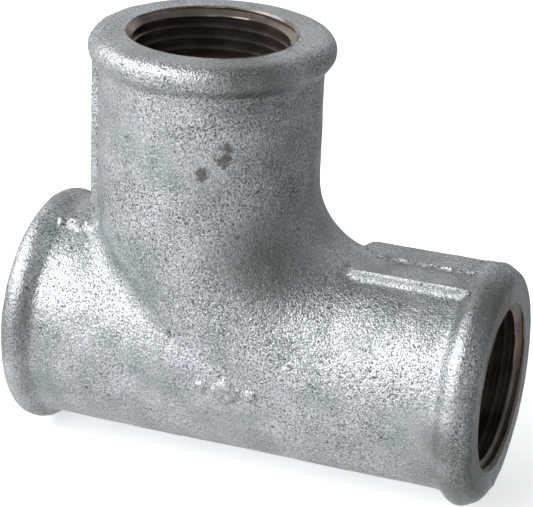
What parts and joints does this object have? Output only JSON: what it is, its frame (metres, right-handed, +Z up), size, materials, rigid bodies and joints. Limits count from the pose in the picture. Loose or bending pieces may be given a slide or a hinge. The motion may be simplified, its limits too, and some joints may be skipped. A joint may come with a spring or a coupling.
{
  "type": "pipe tee",
  "caption": "Galvanised cast-iron pitcher tee with three beaded, threaded sockets; its branch sweeps into the long arm of the run.",
  "frame": {"origin": "where the axes of the run and of the branch cross", "axes": "+X along the run to its long arm, +Z up the branch, +Y square to both"},
  "size_m": [0.0777, 0.0382, 0.0695],
  "materials": {
    "galvanised_casting": "hot-dip galvanised, as cast",
    "machined_thread": "machined, uncoated"
  },
  "bodies": {
    "root": {"tee_casting": "galvanised_casting", "left_socket_thread": "machined_thread", "right_socket_thread": "machined_thread", "branch_socket_thread": "machined_thread"}
  },
  "joints": []
}
